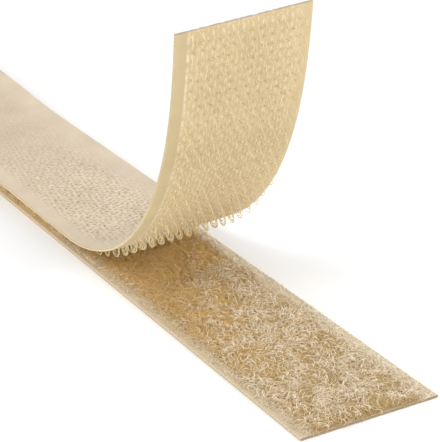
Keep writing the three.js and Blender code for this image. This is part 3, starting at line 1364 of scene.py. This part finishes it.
    def build_film(self, span: Span, finish: Material) -> Piece:
        """Coat the back of one length: pebbled in the middle and smooth along both margins.

        Args:
            span: The length.
            finish: The film's material.

        Returns:
            The film.
        """
        along, across = self.grid(span, self.film_step, self.film_inset)
        to_edge = self.width / 2 - np.abs(across)
        fade = np.where(across > 0, self.margin_fade_far, self.margin_fade_near)
        inside = ease((to_edge - self.smooth_margin) / fade) * 0.9 + 0.1
        pebbles = self.pebbles(along + self.pebble_drift * wander(along, across, 1.9, self.seed + 3),
                               across + self.pebble_drift * wander(along, across, 1.7, self.seed + 4))
        strong = self.pebble_far + (1 - self.pebble_far) * ease((along + self.pebble_fade) / self.pebble_fade)
        uneven = (1 + 0.45 * wander(along, across, 1.4, self.seed + 5)) * strong
        grain = pebbles * uneven * inside + 0.6 * (1 - inside)
        relief = self.pebble_rise * (0.5 - grain) + self.film_drop * (1 - ease(to_edge / self.edge_round))
        face = np.minimum(relief - self.film_out, -self.web_half - self.lap)
        layer = Layer(along, across, face, -self.web_half + self.lap)
        return layer.piece(f"hook_film_{span.name}", finish, self.path)

    def growth(self) -> Graph:
        """Write the tree that sets a cut hook on each point of a lattice.

        Returns:
            The tree.
        """
        graph = Graph(bpy.data.node_groups.new("hook_growth", "GeometryNodeTree"))
        given = graph.take("Lattice", ("Height", "Reach", "Wire", "Column pitch"))
        tubes = []
        for first, last, count in self.hook_arms:
            line = graph.add("GeometryNodeCurvePrimitiveLine")["Curve"]
            dotted = graph.add("GeometryNodeResampleCurve", {"Curve": line, "Count": count})["Curve"]
            run = graph.add("GeometryNodeSplineParameter")["Factor"] * (last - first) + first
            angle = run * math.pi
            rise = angle.sine().at_least(0.0) ** 0.5
            spot = graph.vector(angle.cosine() * given["Reach"] * -0.5, 0.0, rise * given["Height"])
            bent = graph.add("GeometryNodeSetPosition", {"Geometry": dotted, "Position": spot})["Geometry"]
            tubes.append(graph.tube(bent, given["Wire"], self.hook_sides))
        _, across, _ = graph.split(graph.add("GeometryNodeInputPosition")["Position"])
        facing = (across / given["Column pitch"]).floor() % 2.0
        heading = facing * math.pi + graph.stray(self.hook_stray, Draw.HOOK_HEADING)
        lie = graph.vector(graph.stray(self.hook_tilt, Draw.HOOK_TILT),
                           graph.stray(self.hook_lean, Draw.HOOK_LEAN), heading)
        scale = graph.vector(graph.chance(*self.hook_long, Draw.HOOK_LONG), 1.0,
                             graph.chance(*self.hook_tall, Draw.HOOK_TALL))
        hook = graph.add("GeometryNodeJoinGeometry", {"Geometry": tubes})["Geometry"]
        graph.strew({"Points": given["Lattice"], "Instance": hook, "Scale": scale}, lie, given["Finish"])
        return graph

    def lattice(self, span: Span) -> Mesh:
        """Lay out the roots of one length's hooks: staggered columns, clear of the cut ends.

        Args:
            span: The length.

        Returns:
            The roots as loose points on the flat tape.
        """
        draw = np.random.default_rng(self.seed + 9)
        roots = []
        for column in range(self.columns):
            across = (column - (self.columns - 1) / 2) * self.column_pitch + self.field_shift
            tip = float(self.skew(np.array(self.path.length), np.array(across))) - self.cut_clear
            first = tip - (column * self.row_stagger % 1) * self.row_pitch
            rows = np.arange(first, self.low + self.cut_clear, -self.row_pitch)
            sides = across + draw.normal(0, self.root_aside, len(rows))
            for along, side in zip(rows + draw.normal(0, self.root_ahead, len(rows)), sides):
                if span.first <= along < span.last:
                    roots.append((along * MM, side * MM, self.web_half * MM))
        seeds = bpy.data.meshes.new("hook_roots")
        seeds.from_pydata(roots, [], [])
        return seeds

    def build_hooks(self, span: Span, graph: Graph, finish: Material) -> Piece:
        """Grow one length's hooks on the flat tape and bend them with it.

        Args:
            span: The length.
            graph: The growth tree.
            finish: The hooks' material.

        Returns:
            The hooks.
        """
        values = {"Height": self.hook_height * MM, "Reach": self.hook_reach * MM, "Wire": self.hook_wire * MM,
                  "Column pitch": self.column_pitch * MM, "Finish": finish}
        piece = grow(f"hooks_{span.name}", self.lattice(span), graph, values)
        mesh = piece.data
        points = np.empty(len(mesh.vertices) * 3)
        mesh.vertices.foreach_get("co", points)
        flat = points.reshape(-1, 3) / MM
        keep_flat(mesh, flat)
        mesh.vertices.foreach_set("co", (self.path.wrap(flat) * MM).ravel())
        outward(mesh)
        mesh.update()
        return piece

    def build(self, dress: "Wardrobe", bed: Piece) -> None:
        """Build the whole upper tape, length by length; the pressed length goes on its body.

        Args:
            dress: The finishes.
            bed: What the pressed length lies on; not used.
        """
        graph = self.growth()
        for span in self.spans():
            cloth = self.build_cloth(span, dress.hook_web)
            film = self.build_film(span, dress.film)
            hooks = self.build_hooks(span, graph, dress.hooks)
            layers = ((cloth, "hook_web", Slot.WEB), (film, "hook_coat", Slot.FILM),
                      (hooks, "hook_rows", Slot.CAUGHT if span.caught else Slot.HOOKS))
            for piece, node, slot in layers:
                if span.turning is None:
                    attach(piece, span.bodies[0])
                else:
                    first, last = (self.path.point(along) for along in span.turning)
                    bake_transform(piece)
                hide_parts(f"{node}_{span.name}")
                report(piece)
            self.width * MM
            (span.last - span.first) * MM


@dataclass
class Wardrobe:
    """The materials of the two tapes, made once."""

    loop: LoopTape
    hook: HookTape
    web: Material = field(init=False)
    hook_web: Material = field(init=False)
    film: Material = field(init=False)
    film_below: Material = field(init=False)
    felt: Material = field(init=False)
    pile: Material = field(init=False)
    hooks: Material = field(init=False)

    def __post_init__(self) -> None:
        """Build each finish."""
        loop, hook = self.loop, self.hook
        parting = hook.path.start[0]
        # The colour of the painted shade on the cut ends and sides of the webs and films.
        cut = srgb(112, 98, 80)
        # The lower web takes painted shade where the hook tape overhangs it.
        self.web = WovenGround(
            "woven_selvedge", srgb(213, 198, 172), srgb(186, 167, 137), cut, cut_shade=0.8, rib_share=0.45,
            painted_shade=srgb(210, 186, 148), painted_shade_to=parting + loop.painted_shade_ahead).material()
        # The hook face carries painted highlights as dashes, painted shade on its hem, and painted shade
        # toward the flap's free end.
        self.hook_web = WovenGround(
            "woven_hook_face", srgb(253, 236, 197), srgb(213, 191, 147), cut, cut_shade=0.1, glint_share=0.7,
            hem=srgb(199, 179, 135), hem_share=1.0, seam=srgb(238, 227, 206), painted_shade=srgb(150, 130, 95),
            painted_shade_to=8.0, painted_shade_fade=-37.0, painted_shade_share=0.47).material()
        # Both films' pit colours are painted shade in their hollows.
        self.film = PebbledFilm(
            "pebbled_film", srgb(228, 212, 188), srgb(166, 144, 115), cut,
            level=0.5 * hook.pebble_rise - hook.film_out, depth=-2 * hook.pebble_rise,
            cut_shade=0.1).material()
        self.film_below = PebbledFilm(
            "smooth_film", srgb(222, 204, 176), srgb(200, 177, 144), cut,
            level=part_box("loop_back_coat")[0].z / MM, depth=-4 * loop.film_wave).material()
        # In both pile finishes the colours by the fold are painted shade.
        self.felt = PileFelt(
            "pile_felt", deepest_shade=srgb(203, 166, 98), pressed=srgb(194, 160, 97),
            sheltered=srgb(205, 174, 118), rim=srgb(212, 196, 168), parting=parting,
            matted=srgb(150, 123, 74), tuft=srgb(184, 160, 110), level=loop.web_top + loop.felt_rise,
            depth=4 * loop.felt_wave).material()
        # The yarn's root is painted shade and its crown a painted highlight.
        self.pile = PileYarn(
            "pile_filament", deepest_shade=srgb(216, 176, 104), pressed=srgb(210, 173, 104),
            sheltered=srgb(214, 183, 127), rim=srgb(242, 228, 202), parting=parting, root=srgb(182, 150, 92),
            shaft=srgb(233, 203, 152), crown=srgb(251, 236, 209), low=loop.web_top + loop.root_depth,
            high=loop.web_top + loop.crown_level).material()
        # The hooks' crown is a painted highlight, and their dimmer colour is painted shade up the flap.
        self.hooks = HookNylon(
            "hook_nylon", foot=srgb(230, 210, 166), crown=srgb(240, 222, 184), painted_dim=srgb(188, 166, 124),
            low=hook.web_half, high=hook.web_half + hook.hook_height).material()


@dataclass(frozen=True)
class Lamp:
    """A soft rectangular lamp that faces the tape: its power in watts, its width and place in metres."""

    name: str
    power: float
    width: float
    place: Place
    share: float = 0.25

    def hang(self) -> None:
        """Hang the lamp in its place."""
        light = bpy.data.lights.new(self.name, "AREA")
        light.energy = self.power
        light.shape = "RECTANGLE"
        light.size = self.width
        light.size_y = self.width * self.share
        hung = bpy.data.objects.new(self.name, light)
        hung.location = self.place
        hung.rotation_euler = (-Vector(self.place)).to_track_quat("-Z", "Y").to_euler()
        bpy.context.scene.collection.objects.link(hung)


@dataclass
class Studio:
    """White paper, soft lamps around the tape, and the camera where the photograph was taken from."""

    target: Place = (0.01843, 0.01723, 0.0)
    azimuth: float = 55.683
    elevation: float = 27.038
    roll: float = 0.706
    distance: float = 0.27497
    focal_pixels: float = 1477.6
    long_side: int = 442
    sensor: float = 36.0
    clip: tuple[float, float] = (0.01, 20.0)
    floor_size: float = 4.0
    paper: float = 0.98
    ambient: float = 0.58
    lamps: tuple[Lamp, ...] = (Lamp("key", 1.95, 0.4, (-0.05, -0.5, 0.55), share=1.0),
                               Lamp("fill", 1.3, 0.8, (0.45, 0.1, 0.27)),
                               Lamp("side", 1.5, 0.7, (0.2, -0.6, 0.1)),
                               Lamp("far", 1.9, 0.7, (0.2, 0.55, 0.16)))

    def build_camera(self) -> None:
        """Place the camera by its direction and distance from the target."""
        turn, rise = math.radians(self.azimuth), math.radians(self.elevation)
        back = Vector((math.sin(turn) * math.cos(rise), -math.cos(turn) * math.cos(rise), math.sin(rise)))
        lens = bpy.data.cameras.new("camera")
        lens.sensor_width = self.sensor
        lens.lens = self.sensor * self.focal_pixels / self.long_side
        lens.clip_start, lens.clip_end = self.clip
        camera = bpy.data.objects.new("camera", lens)
        camera.location = Vector(self.target) + back * self.distance
        level = (-back).to_track_quat("-Z", "Y")
        camera.rotation_euler = (level @ Quaternion((0, 0, 1), math.radians(self.roll))).to_euler()
        bpy.context.scene.collection.objects.link(camera)
        bpy.context.scene.camera = camera

    def build_floor(self) -> None:
        """Spread the paper."""
        half = self.floor_size / 2
        corners = [(-half, -half, 0), (half, -half, 0), (half, half, 0), (-half, half, 0)]
        sheet = bpy.data.meshes.new("floor")
        sheet.from_pydata(corners, [], [(0, 1, 2, 3)])
        sheet.materials.append(Floor("paper", (self.paper, self.paper, self.paper, 1.0)).material())
        stand("floor", sheet)

    def build_light(self) -> None:
        """Light the tape: an even sky that the lens sees as white, and the lamps."""
        world = bpy.data.worlds.new("studio")
        world.use_nodes = True
        graph = Graph(world.node_tree)
        ray = graph.add("ShaderNodeLightPath")
        seen = (ray["Is Camera Ray"] + ray["Is Glossy Ray"] + ray["Is Transmission Ray"]).held()
        dim = graph.add("ShaderNodeBackground", {"Color": WHITE, "Strength": self.ambient})
        white = graph.add("ShaderNodeBackground", {"Color": WHITE, "Strength": 1.0})
        mixed = graph.add("ShaderNodeMixShader", {0: seen, 1: dim["Background"], 2: white["Background"]})
        graph.add("ShaderNodeOutputWorld", {"Surface": mixed[0]})
        bpy.context.scene.world = world
        for lamp in self.lamps:
            lamp.hang()

    def build(self) -> None:
        """Set the whole studio up."""
        self.build_camera()
        self.build_floor()
        self.build_light()
        bpy.context.scene.view_settings.view_transform = "Standard"


def peel_path() -> PeelPath:
    """Start the hook tape's path where the frame has the first bend.

    Returns:
        The path, which bends as the flap does in the photograph.
    """
    joints = {joint["name"]: joint for joint in frame["joints"]}
    x, _, z = joints["peel_1"]["pos_m"]
    return PeelPath((x / MM, z / MM))


def main() -> None:
    """Build the studio and the two tapes."""
    logging.basicConfig(level=logging.INFO, format="%(name)s: %(message)s")
    Studio().build()
    path = peel_path()
    loop, hook = LoopTape(path.start[0]), HookTape(path)
    dress = Wardrobe(loop, hook)
    felt = loop.build(dress)
    hook.build(dress, felt)


if __name__ == "__main__":
    main()
